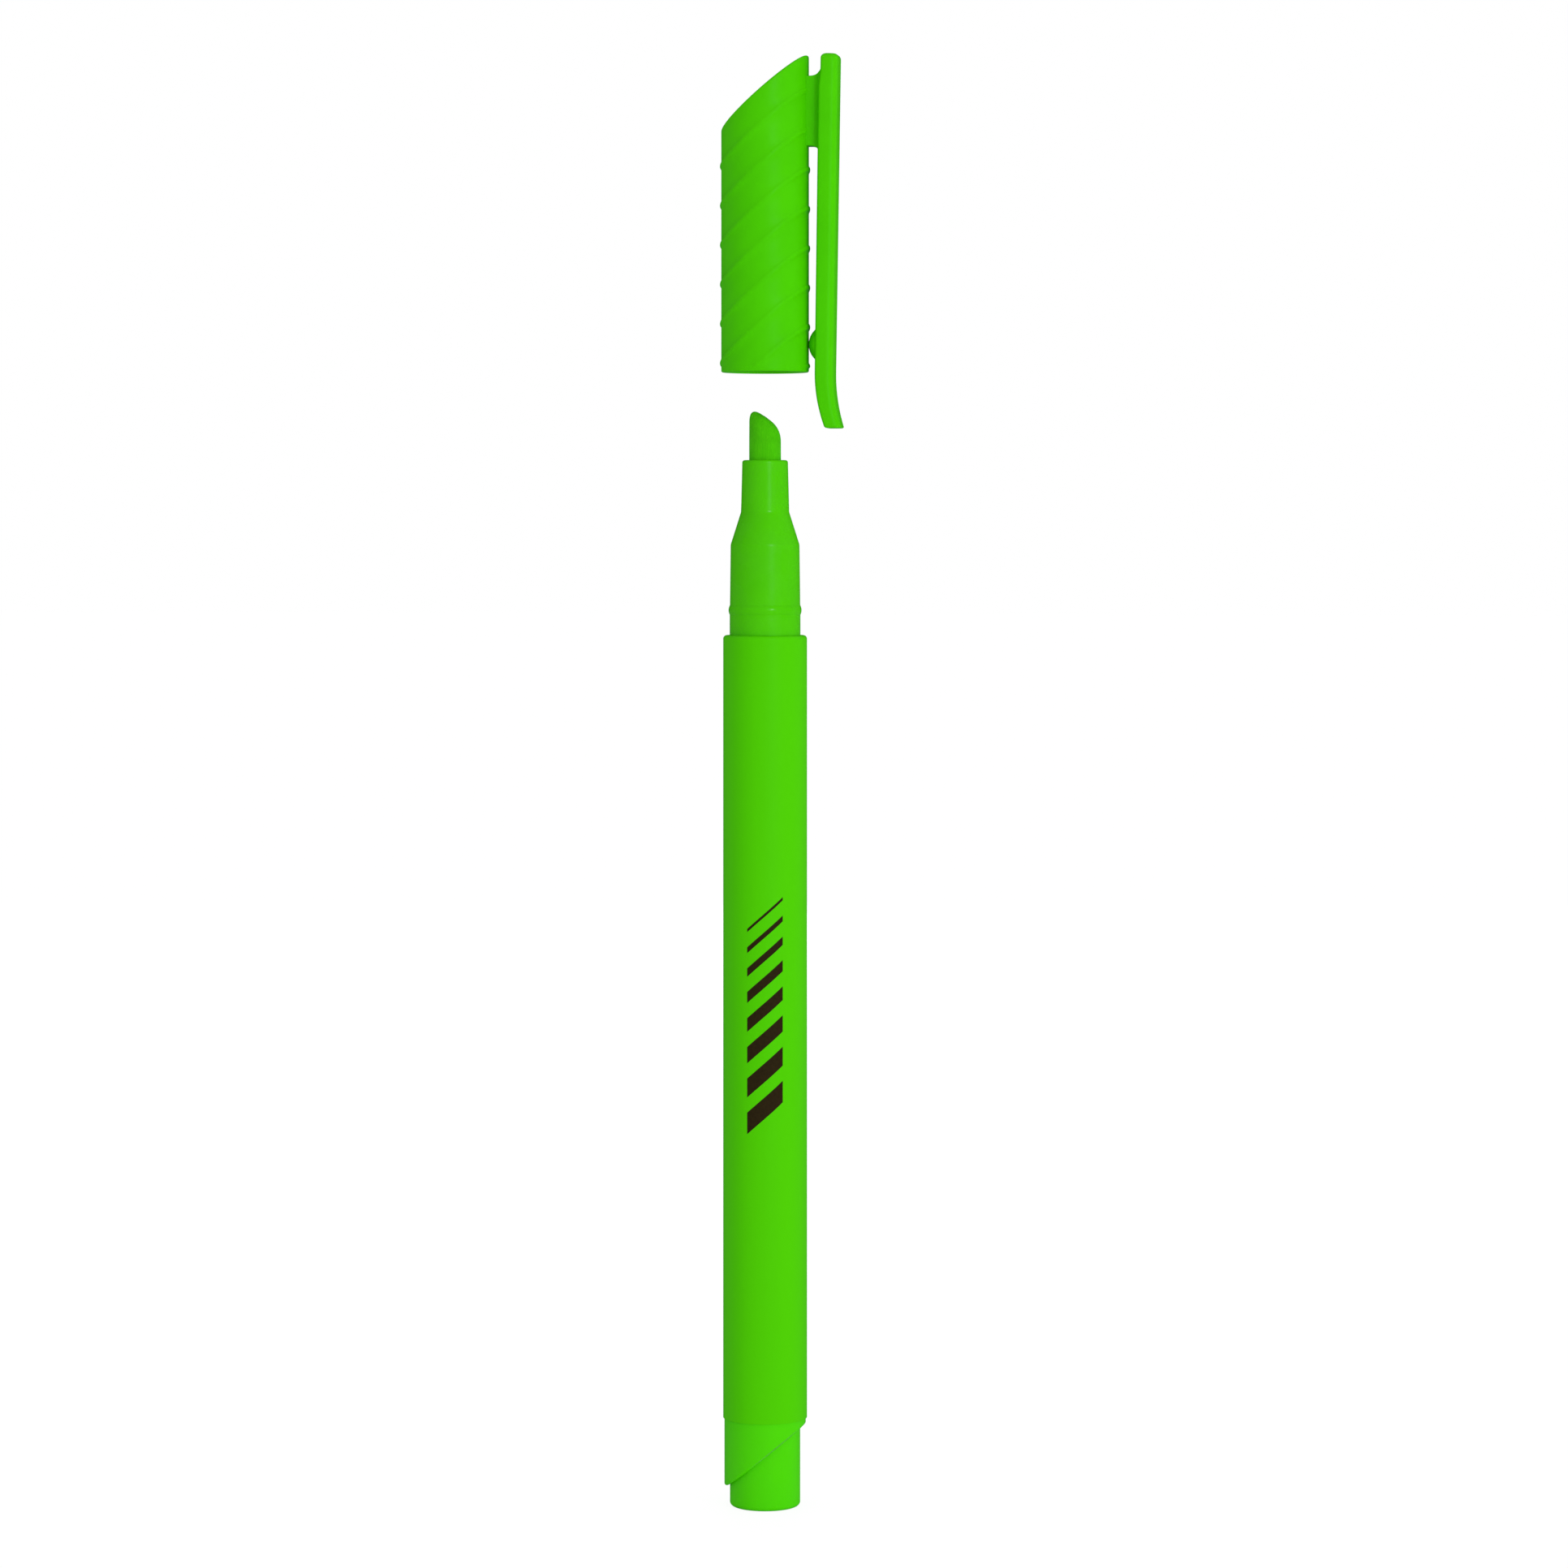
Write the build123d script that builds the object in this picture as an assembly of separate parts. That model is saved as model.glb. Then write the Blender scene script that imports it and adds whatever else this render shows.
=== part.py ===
from build123d import *
import math
import os

# A capped, pen-style chisel-tip highlighter with its cap drawn off the nib.
# Millimetres. The origin is the centre of the tail's flat end, +Z runs along the pen
# towards the nib, and +X points from the pen's axis to the pocket clip.

os.makedirs("parts", exist_ok=True)

# ---------------------------------------------------------------- driving dimensions

BARREL_R = 5.165            # outside of the extruded barrel tube
BORE_R = 4.15               # inside of the barrel tube
BARREL_LOW = 10.85          # seam between tail plug and barrel
BARREL_HIGH = 107.15        # shoulder the cap seats against
SHOULDER_ROUND = 0.45
FIN_COUNT = 6               # fins inside the barrel that centre the reservoir
FIN_LOW, FIN_HIGH = 20.0, 95.0
FIN_THICK = 0.6             # thickness of every inner fin and rib
ROOT_DEPTH = 0.3            # how deep a fin or rib is sunk into the wall it grows from

SLIP = 0.05                 # radial clearance of a loose or running fit
PRESS_LEAD = 0.35           # lead-in chamfer of a pressed-in spigot

RESERVOIR_R = 3.5           # ink reservoir over its film
FILM_THICK = 0.1
RESERVOIR_LOW, RESERVOIR_HIGH = 18.5, 103.0

TAIL_STUB_R = 4.325         # slim end that the cap can be posted on
TAIL_COLLAR_R = 5.01        # collar that carries on the barrel's outline
TAIL_SLOPE = math.radians(39.0)
TAIL_STEP_Z = 6.12          # height of the sloped step on the axis
TAIL_CORE_R = 3.2           # moulded hollow of the plug
TAIL_FLOOR = 1.2
TAIL_END_ROUND = 0.5
TAIL_STEP_ROUND = 0.3

NOSE_BASE_R = 4.36
NOSE_TOP_R = 4.24           # at the foot of the cone
BEAD_R = 4.50               # snap bead for the cap
BEAD_Z = 110.25
BEAD_HALF = 0.6
BEAD_STEP = 0.03            # the nose is this much slimmer above the bead than below it
CONE_LOW, CONE_HIGH = 118.3, 122.3
CONE_HIGH_R = 2.97
CONE_ROUND = 1.2
TIP_R = 2.81                # rim of the nib holder
TIP_Z = 128.7
TIP_ROUND = 0.3
SPIGOT_LOW = 97.0
HOLLOW_R = 3.2              # air space round the nib inside the nose
HOLLOW_HIGH = 116.5
NIB_RIB_COUNT = 6
NIB_RIB_LOW = RESERVOIR_HIGH + 1.0
VENT_COUNT = 3
VENT_SIZE = 0.5

NIB_R = 1.96
NIB_LOW, NIB_HIGH = 96.0, 134.7
NIB_REAR_CHAMFER = 0.4
NIB_SLANT = math.radians(35.0)
NIB_PEAK_CUT = 0.78         # what the round at the peak takes off the sharp corner
NIB_PEAK_ROUND = 0.85
NIB_HEEL_ROUND = 1.9        # round on the low side of the slant
NIB_EDGE_HALF = 1.0         # half the writing edge's width
NIB_EDGE_ROUND = 0.5
NIB_LEAN_HEIGHT = 2.6       # how far below the tip the broad faces start to lean in
NIB_LEAN_ROUND = 3.0

CAP_LIFT = 32.35            # how far the cap stands off its seat at rest
CAP_MOUTH = BARREL_HIGH + CAP_LIFT
CAP_R = 5.40
CAP_BORE_R = 4.54
CAP_SLOPE = math.radians(41.0)
CAP_TOP_Z = 174.0           # height of the sloped top on the axis
CAP_ROOF = 1.0
CAP_TOP_ROUND = 0.25
CAP_LIP_ROUND = 0.2
CAP_LIP_HEIGHT = 0.35       # plain lip below the lowest rings
CAP_RIB_COUNT = 6
GROOVE_DEPTH = 0.12         # snap groove that takes the nose bead
RING_COUNT = 8              # sloped grip rings round the cap
RING_TOP_Z = 169.5          # height of the highest ring on the axis
RING_PITCH = 4.85
RING_PROUD = 0.17
RING_WIRE_R = 0.55          # radius of the ring's round crown

LINER_WALL = 0.75           # inner sealing cap
LINER_FLANGE = 2.4
LINER_RISE = 0.9            # how far the seated liner's mouth is above the foot of the cone
LINER_ROUND = 0.3
LINER_TIP_GAP = 0.25
LINER_HEADROOM = 0.35       # air above the nib when the cap is seated

CLIP_WIDTH = 4.2
CLIP_TOP, CLIP_END = 178.6, 132.6
CLIP_INNER_TOP, CLIP_OUTER_TOP = 6.95, 9.30
CLIP_INNER_LOW, CLIP_OUTER_LOW = 6.43, 8.68
CLIP_BEND_Z = 139.0         # the clip curls away from the pen below this height
CLIP_CURL_Z = 135.7         # middle of the curl
CLIP_CURL_INNER, CLIP_CURL_OUTER = 6.80, 8.98
CLIP_END_INNER, CLIP_END_OUTER = 7.60, 9.66
CLIP_TOP_ROUND = 0.6
CLIP_END_ROUND = 0.3
CLIP_CURL_ROUND = 9.0       # softens the bends between the clip's straight stretches
CLIP_EDGE_ROUND = 0.95      # rounded outer edges of the clip's D-shaped section
BRIDGE_LOW, BRIDGE_HIGH = 167.4, 176.0
BRIDGE_THICK = 2.4
BRIDGE_ROOT = 0.5           # how deep the bridge is rooted in the cap's wall
BRIDGE_REACH = 0.6          # and in the clip
BRIDGE_FLARE = 1.1          # length of the flare where the bridge meets the clip
FLARE_TOP, FLARE_LOW = 1.2, 0.9
FLARE_TOP_ROUND, FLARE_LOW_ROUND = 1.0, 0.8
BALL_Z = 142.9              # gripping bump behind the clip
BALL_R = 2.5
BALL_FOOT = 0.09            # how deep the bump is rooted in the clip
KNUCKLE_Z = 166.2           # height the clip flexes about
KNUCKLE_GAP = 0.04
KNUCKLE_INSET = 0.12        # shoulder either side of the knuckle
KNUCKLE_STANDOFF = 0.25     # room above the shoulder for the clip to swing

CLEAR = 1.0                 # how far a cutting tool runs past the faces it cuts
MATCH = 0.05                # how closely an edge has to fit the size it is looked up by


# ---------------------------------------------------------------- small helpers

def rod(radius, low, high):
    """A solid cylinder on the pen's axis between two heights."""
    return Pos(0, 0, low) * Cylinder(radius, high - low, align=(Align.CENTER, Align.CENTER, Align.MIN))


def upright(lines):
    """Lines drawn with radius as X and height as Y, stood up into the XZ plane."""
    return [Plane.XZ * line for line in lines]


def turned(lines):
    """A solid of revolution from the lines of a closed radius-height outline."""
    return revolve(make_face(Curve() + upright(lines)), axis=Axis.Z)


def slab(outline, thick):
    """A flat outline in the XZ or YZ plane, thickened evenly to both sides."""
    return extrude(make_face(outline), thick / 2, both=True)


def sloped_plane(height, slope):
    """A plane that crosses the axis at a height and climbs towards +X."""
    return Plane(origin=(0, 0, height), x_dir=(0, 1, 0), z_dir=(-math.sin(slope), 0, math.cos(slope)))


def above(solid, plane):
    return split(solid, bisect_by=plane, keep=Keep.TOP)


def below(solid, plane):
    return split(solid, bisect_by=plane, keep=Keep.BOTTOM)


def ring_edges(solid, radius, height):
    """The circular edges of one radius at one height."""
    circles = solid.edges().filter_by(GeomType.CIRCLE)
    return [e for e in circles if abs(e.radius - radius) < MATCH and abs(e.center().Z - height) < MATCH]


def sloped_edges(solid, radius):
    """The oval edges where a sloped cut meets the outside of a round of this radius."""
    ovals = solid.edges().filter_by(GeomType.ELLIPSE)
    return [e for e in ovals if abs(e.bounding_box().size.Y - 2 * radius) < MATCH]


def fins(count, inner, outer, thick, low, high, turn=0.0):
    """Radial fins between two radii, spaced evenly round the axis."""
    blade = Box(outer - inner, thick, high - low, align=(Align.MIN, Align.CENTER, Align.MIN))
    return [Rot(0, 0, turn + 360 / count * i) * Pos(inner, 0, low) * blade for i in range(count)]


# ---------------------------------------------------------------- barrel and tail

def barrel_tube():
    tube = rod(BARREL_R, BARREL_LOW, BARREL_HIGH)
    tube = fillet(ring_edges(tube, BARREL_R, BARREL_HIGH), SHOULDER_ROUND)
    tube -= rod(BORE_R, BARREL_LOW, BARREL_HIGH)
    tube += fins(FIN_COUNT, RESERVOIR_R + SLIP, BORE_R + ROOT_DEPTH, FIN_THICK, FIN_LOW, FIN_HIGH)
    return tube


def tail_plug():
    step = sloped_plane(TAIL_STEP_Z, TAIL_SLOPE)
    collar = above(rod(TAIL_COLLAR_R, 0, BARREL_LOW), step)
    collar = fillet(sloped_edges(collar, TAIL_COLLAR_R), TAIL_STEP_ROUND)
    stub = rod(TAIL_STUB_R, 0, BARREL_LOW)
    stub = fillet(ring_edges(stub, TAIL_STUB_R, 0), TAIL_END_ROUND)
    spigot = rod(BORE_R, BARREL_LOW, RESERVOIR_LOW)
    spigot = chamfer(ring_edges(spigot, BORE_R, RESERVOIR_LOW), PRESS_LEAD)
    plug = collar + stub + spigot
    return plug - rod(TAIL_CORE_R, TAIL_FLOOR, RESERVOIR_LOW)


# ---------------------------------------------------------------- ink system

def reservoir_core():
    core = rod(RESERVOIR_R - FILM_THICK, RESERVOIR_LOW, RESERVOIR_HIGH)
    return core - rod(NIB_R, NIB_LOW, RESERVOIR_HIGH)


def reservoir_film():
    film = rod(RESERVOIR_R, RESERVOIR_LOW, RESERVOIR_HIGH)
    return film - rod(RESERVOIR_R - FILM_THICK, RESERVOIR_LOW, RESERVOIR_HIGH)


def nib_side():
    """The nib seen along Y: a rounded peak on the -X side and a slant down to +X."""
    peak = NIB_HIGH + NIB_PEAK_CUT
    heel = peak - 2 * NIB_R * math.tan(NIB_SLANT)
    low = NIB_LOW - CLEAR
    return FilletPolyline(
        (-NIB_R, 0, low),
        (-NIB_R, 0, peak),
        (NIB_R, 0, heel),
        (NIB_R, 0, low),
        radius=(0, NIB_PEAK_ROUND, NIB_HEEL_ROUND, 0),
        close=True,
    )


def nib_lean():
    """The nib seen along X: both broad faces lean in to the writing edge."""
    low, high = NIB_LOW - CLEAR, NIB_HIGH + MATCH
    shoulder = NIB_HIGH - NIB_LEAN_HEIGHT
    return FilletPolyline(
        (0, -NIB_R, low),
        (0, -NIB_R, shoulder),
        (0, -NIB_EDGE_HALF, high),
        (0, NIB_EDGE_HALF, high),
        (0, NIB_R, shoulder),
        (0, NIB_R, low),
        radius=(0, NIB_LEAN_ROUND, NIB_EDGE_ROUND, NIB_EDGE_ROUND, NIB_LEAN_ROUND, 0),
        close=True,
    )


def nib():
    """A fibre rod whose tip is a rounded wedge cut on the slant."""
    body = rod(NIB_R, NIB_LOW, NIB_HIGH + CLEAR)
    body = chamfer(ring_edges(body, NIB_R, NIB_LOW), NIB_REAR_CHAMFER)
    return body & slab(nib_side(), 4 * NIB_R) & slab(nib_lean(), 4 * NIB_R)


# ---------------------------------------------------------------- nose section

def nose_outline():
    """The outside of the nose, from its spigot up to the rim round the nib."""
    bead_low, bead_high = BEAD_Z - BEAD_HALF, BEAD_Z + BEAD_HALF
    above_bead_r = NOSE_BASE_R - BEAD_STEP
    return [
        Polyline(
            (0, SPIGOT_LOW),
            (BORE_R - PRESS_LEAD, SPIGOT_LOW),
            (BORE_R, SPIGOT_LOW + PRESS_LEAD),
            (BORE_R, BARREL_HIGH),
            (NOSE_BASE_R, BARREL_HIGH),
            (NOSE_BASE_R, bead_low),
        ),
        ThreePointArc((NOSE_BASE_R, bead_low), (BEAD_R, BEAD_Z), (above_bead_r, bead_high)),
        FilletPolyline(
            (above_bead_r, bead_high),
            (NOSE_TOP_R, CONE_LOW),
            (CONE_HIGH_R, CONE_HIGH),
            (TIP_R, TIP_Z),
            (0, TIP_Z),
            radius=(CONE_ROUND, CONE_ROUND, TIP_ROUND),
        ),
        Line((0, TIP_Z), (0, SPIGOT_LOW)),
    ]


def nose_section():
    body = turned(nose_outline())
    body -= rod(RESERVOIR_R + SLIP, SPIGOT_LOW, RESERVOIR_HIGH)
    body -= rod(HOLLOW_R, RESERVOIR_HIGH, HOLLOW_HIGH)
    inner, outer = NIB_R - ROOT_DEPTH, HOLLOW_R + ROOT_DEPTH
    body += fins(NIB_RIB_COUNT, inner, outer, FIN_THICK, NIB_RIB_LOW, HOLLOW_HIGH)
    body -= rod(NIB_R, RESERVOIR_HIGH, TIP_Z)
    between_ribs = 180 / NIB_RIB_COUNT
    for vent in fins(VENT_COUNT, inner, NIB_R + VENT_SIZE, VENT_SIZE, HOLLOW_HIGH, TIP_Z, between_ribs):
        body -= vent
    return body


# ---------------------------------------------------------------- cap and its liner

def seated(height):
    """A height on the pen, carried up to where the drawn-off cap has it."""
    return height + CAP_LIFT


def cap_ring(height):
    """One raised ring, as a round bar laid along a sloped oval of the cap's wall."""
    middle = CAP_R + RING_PROUD - RING_WIRE_R
    plane = sloped_plane(height, CAP_SLOPE)
    oval = plane * Ellipse(middle, middle / math.cos(CAP_SLOPE))
    path = oval.wires()[0]
    start = path.position_at(0)
    section = Plane(origin=start, z_dir=path.tangent_at(0)) * Circle(RING_WIRE_R)
    return sweep(section, path=path)


def cap_ceiling():
    """The sloped plane of the cap's inner roof."""
    return sloped_plane(CAP_TOP_Z - CAP_ROOF / math.cos(CAP_SLOPE), CAP_SLOPE)


def rib_space():
    """The space inside the cap, a little oversize so that ribs grow out of its walls."""
    space = rod(CAP_BORE_R + ROOT_DEPTH, CAP_MOUTH, CLIP_TOP)
    return below(space, cap_ceiling().offset(ROOT_DEPTH))


def cap_ribs():
    """Ribs above the liner's flange that hold its tube in the middle of the cap."""
    low = liner_low() + LINER_FLANGE + SLIP
    between = 180 / CAP_RIB_COUNT
    inner, outer = liner_tube_r() + SLIP, CAP_BORE_R + ROOT_DEPTH
    blades = fins(CAP_RIB_COUNT, inner, outer, FIN_THICK, low, CLIP_TOP, between)
    return [blade & rib_space() for blade in blades]


def cap_shell():
    roof = sloped_plane(CAP_TOP_Z, CAP_SLOPE)
    body = below(rod(CAP_R, CAP_MOUTH, CLIP_TOP + CLEAR), roof)
    body = fillet(sloped_edges(body, CAP_R), CAP_TOP_ROUND)
    body = fillet(ring_edges(body, CAP_R, CAP_MOUTH), CAP_LIP_ROUND)
    ring_free = rod(2 * CAP_R, BARREL_HIGH, CAP_MOUTH + CAP_LIP_HEIGHT)
    for i in range(RING_COUNT):
        body += cap_ring(RING_TOP_Z - RING_PITCH * i) - ring_free
    body += clip_root()
    body -= below(rod(CAP_BORE_R, CAP_MOUTH - CLEAR, CLIP_TOP + CLEAR), cap_ceiling())
    body -= rod(CAP_BORE_R + GROOVE_DEPTH, seated(BEAD_Z) - BEAD_HALF, seated(BEAD_Z) + BEAD_HALF)
    return body + cap_ribs()


def liner_low():
    return seated(CONE_LOW) + LINER_RISE


def liner_bore_r():
    return CONE_HIGH_R + LINER_TIP_GAP


def liner_tube_r():
    return liner_bore_r() + LINER_WALL


def cap_seal_liner():
    """A thimble inside the cap that closes round the nose cone over the nib."""
    low = liner_low()
    roof_low = seated(NIB_HIGH) + LINER_HEADROOM
    roof_high = roof_low + LINER_WALL
    body = rod(CAP_BORE_R - SLIP, low, low + LINER_FLANGE)
    body += rod(liner_tube_r(), low, roof_high)
    body = fillet(ring_edges(body, liner_tube_r(), roof_high), LINER_ROUND)
    # The seat follows the nose cone with a hair of clearance.
    cone_top = seated(CONE_HIGH)
    slope = (NOSE_TOP_R - CONE_HIGH_R) / (CONE_HIGH - CONE_LOW)
    mouth_r = liner_bore_r() + slope * (cone_top - low)
    bore = Polyline(
        (0, low),
        (mouth_r, low),
        (liner_bore_r(), cone_top),
        (liner_bore_r(), roof_low),
        (0, roof_low),
        close=True,
    )
    return body - turned([bore])


# ---------------------------------------------------------------- clip

def clip_bar():
    """The whole clip, from its top down to its curled end, before it is split."""
    corners = [
        (CLIP_INNER_TOP, CLIP_TOP, CLIP_TOP_ROUND),
        (CLIP_INNER_LOW, CLIP_BEND_Z, CLIP_CURL_ROUND),
        (CLIP_CURL_INNER, CLIP_CURL_Z, CLIP_CURL_ROUND),
        (CLIP_END_INNER, CLIP_END, CLIP_END_ROUND),
        (CLIP_END_OUTER, CLIP_END, CLIP_END_ROUND),
        (CLIP_CURL_OUTER, CLIP_CURL_Z, CLIP_CURL_ROUND),
        (CLIP_OUTER_LOW, CLIP_BEND_Z, CLIP_CURL_ROUND),
        (CLIP_OUTER_TOP, CLIP_TOP, CLIP_TOP_ROUND),
    ]
    points = [(x, 0, z) for x, z, _ in corners]
    rounds = [corner_round for _, _, corner_round in corners]
    bar = slab(FilletPolyline(*points, radius=rounds, close=True), CLIP_WIDTH)
    return fillet([e for e in bar.edges() if on_outer_face(e)], CLIP_EDGE_ROUND)


def on_outer_face(edge):
    """True for an edge that runs down the clip's outer face at either side."""
    middle = edge @ 0.5
    at_side = abs(abs(middle.Y) - CLIP_WIDTH / 2) < MATCH
    between_ends = CLIP_END + CLIP_END_ROUND / 2 < middle.Z < CLIP_TOP - CLIP_TOP_ROUND / 2
    curled = middle.Z < CLIP_BEND_Z
    outside = CLIP_OUTER_LOW - MATCH if curled else (CLIP_INNER_TOP + CLIP_OUTER_TOP) / 2
    return at_side and between_ends and middle.X > outside


def knuckle(gap=0.0):
    """The round the clip turns on where it flexes, just under its bridge."""
    radius = knuckle_radius() + gap
    return Pos(knuckle_x(), 0, KNUCKLE_Z) * Rot(90, 0, 0) * Cylinder(radius, CLIP_WIDTH * 2)


def clip_share():
    """How far down the straight part of the clip the knuckle sits, from 0 to 1."""
    return (CLIP_TOP - KNUCKLE_Z) / (CLIP_TOP - CLIP_BEND_Z)


def knuckle_inner():
    return CLIP_INNER_TOP + (CLIP_INNER_LOW - CLIP_INNER_TOP) * clip_share()


def knuckle_outer():
    return CLIP_OUTER_TOP + (CLIP_OUTER_LOW - CLIP_OUTER_TOP) * clip_share()


def knuckle_x():
    return (knuckle_inner() + knuckle_outer()) / 2


def knuckle_radius():
    return (knuckle_outer() - knuckle_inner()) / 2 - KNUCKLE_INSET


def bridge_outline():
    """The web between cap and clip seen along Y, flaring where it meets the clip."""
    start, end = CAP_R - BRIDGE_ROOT, CLIP_INNER_TOP + BRIDGE_REACH
    return FilletPolyline(
        (start, 0, BRIDGE_LOW),
        (end - BRIDGE_FLARE, 0, BRIDGE_LOW),
        (end, 0, BRIDGE_LOW - FLARE_LOW),
        (end, 0, BRIDGE_HIGH + FLARE_TOP),
        (end - BRIDGE_FLARE, 0, BRIDGE_HIGH),
        (start, 0, BRIDGE_HIGH),
        radius=(0, FLARE_LOW_ROUND, 0, 0, FLARE_TOP_ROUND, 0),
        close=True,
    )


def clip_root():
    """The clip's head and the web that joins it to the cap."""
    head = above(clip_bar(), Plane(origin=(0, 0, KNUCKLE_Z + KNUCKLE_STANDOFF)))
    root = head + slab(bridge_outline(), BRIDGE_THICK)
    return root - knuckle(KNUCKLE_GAP)


def clip_arm():
    """The part of the clip that flexes away from the pen, with its gripping bump."""
    over_arm = rod(CLIP_TOP, KNUCKLE_Z, CLIP_TOP + CLEAR) - knuckle()
    ball = Pos(CAP_R + SLIP + BALL_R, 0, BALL_Z) * Sphere(BALL_R)
    reach = Box(BALL_R, CLIP_WIDTH * 2, BALL_R * 2, align=(Align.MAX, Align.CENTER, Align.CENTER))
    bump = ball & Pos(CLIP_INNER_LOW + BALL_FOOT, 0, BALL_Z) * reach
    return clip_bar() - over_arm + bump


# ---------------------------------------------------------------- write the parts

NODES = {
    "barrel_tube": barrel_tube,
    "tail_plug": tail_plug,
    "reservoir_core": reservoir_core,
    "reservoir_film": reservoir_film,
    "nib": nib,
    "nose_section": nose_section,
    "cap_seal_liner": cap_seal_liner,
    "cap_shell": cap_shell,
    "clip_arm": clip_arm,
}

for name, make in NODES.items():
    export_step(make(), "parts/" + name + ".step")
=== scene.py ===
import math

import bmesh
import bpy
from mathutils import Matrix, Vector


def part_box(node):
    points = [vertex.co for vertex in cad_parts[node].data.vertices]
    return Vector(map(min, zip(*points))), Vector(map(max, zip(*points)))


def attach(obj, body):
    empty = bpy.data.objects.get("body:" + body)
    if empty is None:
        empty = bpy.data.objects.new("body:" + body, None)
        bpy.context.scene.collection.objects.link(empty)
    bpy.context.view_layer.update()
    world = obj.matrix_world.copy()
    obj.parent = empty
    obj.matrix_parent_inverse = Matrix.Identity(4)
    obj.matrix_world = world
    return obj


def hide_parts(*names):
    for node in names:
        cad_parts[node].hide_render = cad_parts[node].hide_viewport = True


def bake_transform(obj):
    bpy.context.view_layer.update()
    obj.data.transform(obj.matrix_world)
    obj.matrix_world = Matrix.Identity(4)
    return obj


# A green chisel-tip highlighter standing on its tail, its cap drawn off above the nib.
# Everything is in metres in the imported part's own frame: +Z runs from the tail to the
# nib, and +X points from the pen's axis to the pocket clip.

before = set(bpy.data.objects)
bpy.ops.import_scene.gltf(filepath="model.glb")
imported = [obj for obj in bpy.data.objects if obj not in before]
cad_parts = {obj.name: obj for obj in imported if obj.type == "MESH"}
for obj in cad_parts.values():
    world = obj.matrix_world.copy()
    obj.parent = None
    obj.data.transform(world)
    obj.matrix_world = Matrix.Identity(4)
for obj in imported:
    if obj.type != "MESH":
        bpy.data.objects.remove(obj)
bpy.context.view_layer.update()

MM = 0.001

# ---------------------------------------------------------------- sizes from the frame

CAP_LOW, CAP_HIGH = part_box("cap_shell")
CLIP_LOW, CLIP_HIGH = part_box("clip_arm")
BARREL_LOW, BARREL_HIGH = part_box("barrel_tube")
NIB_LOW, NIB_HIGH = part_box("nib")
TAIL_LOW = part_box("tail_plug")[0]

BARREL_R = BARREL_HIGH.x
NIB_R = NIB_HIGH.x
SEAT_GAP = 0.01 * MM                    # the pushed-on cap stops this short of the barrel
MOUTH_Z = CAP_LOW.z + SEAT_GAP
RING_PROUD = 0.17 * MM
CAP_R = -CAP_LOW.x - RING_PROUD
CAP_WALL = 0.86 * MM
CAP_BORE_R = CAP_R - CAP_WALL

# ---------------------------------------------------------------- driving sizes of the looks

SLOPE = math.tan(math.radians(41.0))    # climb of the cap's top and rings towards the clip
ROOF_Z = MOUTH_Z + 34.5 * MM            # slanted top, on the axis
ROOF_ROUND_LOW = 0.5 * MM               # rounding of the top's rim, at its low and its high side
ROOF_ROUND_HIGH = 0.2 * MM
RING_TOP_Z = MOUTH_Z + 30.0 * MM        # highest ring, on the axis
RING_PITCH = 4.85 * MM
RING_COUNT = 8
RING_WIRE_R = 0.55 * MM                 # radius of a ring's round crown
RING_SUNK = RING_WIRE_R - RING_PROUD    # how deep the crown's centre lies in the wall
RING_HALF = math.sqrt(RING_WIRE_R ** 2 - RING_SUNK ** 2)
RING_FRONT = 0.35                       # a ring's height at front and back, as a share of its sides
RING_RUN_OUT = 0.3 * MM                 # height over which a ring rises out of the plain lip
LIP_HEIGHT = 0.4 * MM
LIP_ROUND = 0.2 * MM
LIP_LEAD_IN = 0.15 * MM                 # bevel at the bore's mouth
GROOVE_LOW, GROOVE_HIGH = MOUTH_Z + 2.5 * MM, MOUTH_Z + 3.7 * MM
GROOVE_DEPTH = 0.12 * MM                # snap groove in the bore, for the nose's bead
CAP_ROOF = 1.0 * MM
WALL_TOP_DROP = 2.2 * MM                # the wall's last row lies this far below the slanted top
BORE_ROWS = (MOUTH_Z + 10 * MM, MOUTH_Z + 18 * MM)
CAP_SEGMENTS = 192

CLIP_HALF_WIDTH = CLIP_HIGH.y
CLIP_TOP = CAP_HIGH.z
CLIP_END = CLIP_LOW.z
CLIP_BEND_Z = CLIP_END + 6.9 * MM       # below this height the clip curls away from the cap
CLIP_INNER_X, CLIP_INNER_LEAN = 6.43 * MM, 0.0133
CLIP_OUTER_X, CLIP_OUTER_LEAN = 8.68 * MM, 0.0155
INNER_CURL, OUTER_CURL = 0.0275, 0.0235 # in millimetres per millimetre squared
CLIP_HEAD_STEP = 0.22 * MM              # how much thinner the clip is at its head, above the web
CLIP_EDGE = 0.95 * MM                   # rounding of the clip's two outer edges
CLIP_BACK_EDGE = 0.3 * MM
CLIP_TOP_ROUND = 0.6 * MM
CLIP_END_ROUND = 0.25 * MM
CLIP_ROW, CLIP_ROW_FINE = 0.5 * MM, 0.12 * MM
BALL_R = 2.5 * MM
BALL_BLEND = 0.12 * MM                  # how softly the gripping bump runs into the clip's face
BALL_CENTRE = Vector((CLIP_LOW.x + BALL_R, 0, CLIP_END + 10.3 * MM))
WEB_LOW, WEB_HIGH = CLIP_TOP - 11.3 * MM, CLIP_TOP - 2.7 * MM
CLIP_HEAD_LOW, CLIP_HEAD_HIGH = WEB_HIGH - 1.5 * MM, WEB_HIGH + 1.0 * MM
WEB_HALF = 1.2 * MM
WEB_EDGE = 0.12 * MM                    # rounding of the web's edges
WEB_ROOT, WEB_REACH = 0.6 * MM, 0.4 * MM    # how deep the web runs into the cap and the clip
FILLET_UP = (1.4 * MM, 1.1 * MM)        # width and height of the web's hollow fillets on the clip
FILLET_DOWN = (1.0 * MM, 0.7 * MM)
FILLET_SIDE = (0.5 * MM, 0.4 * MM)

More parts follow.
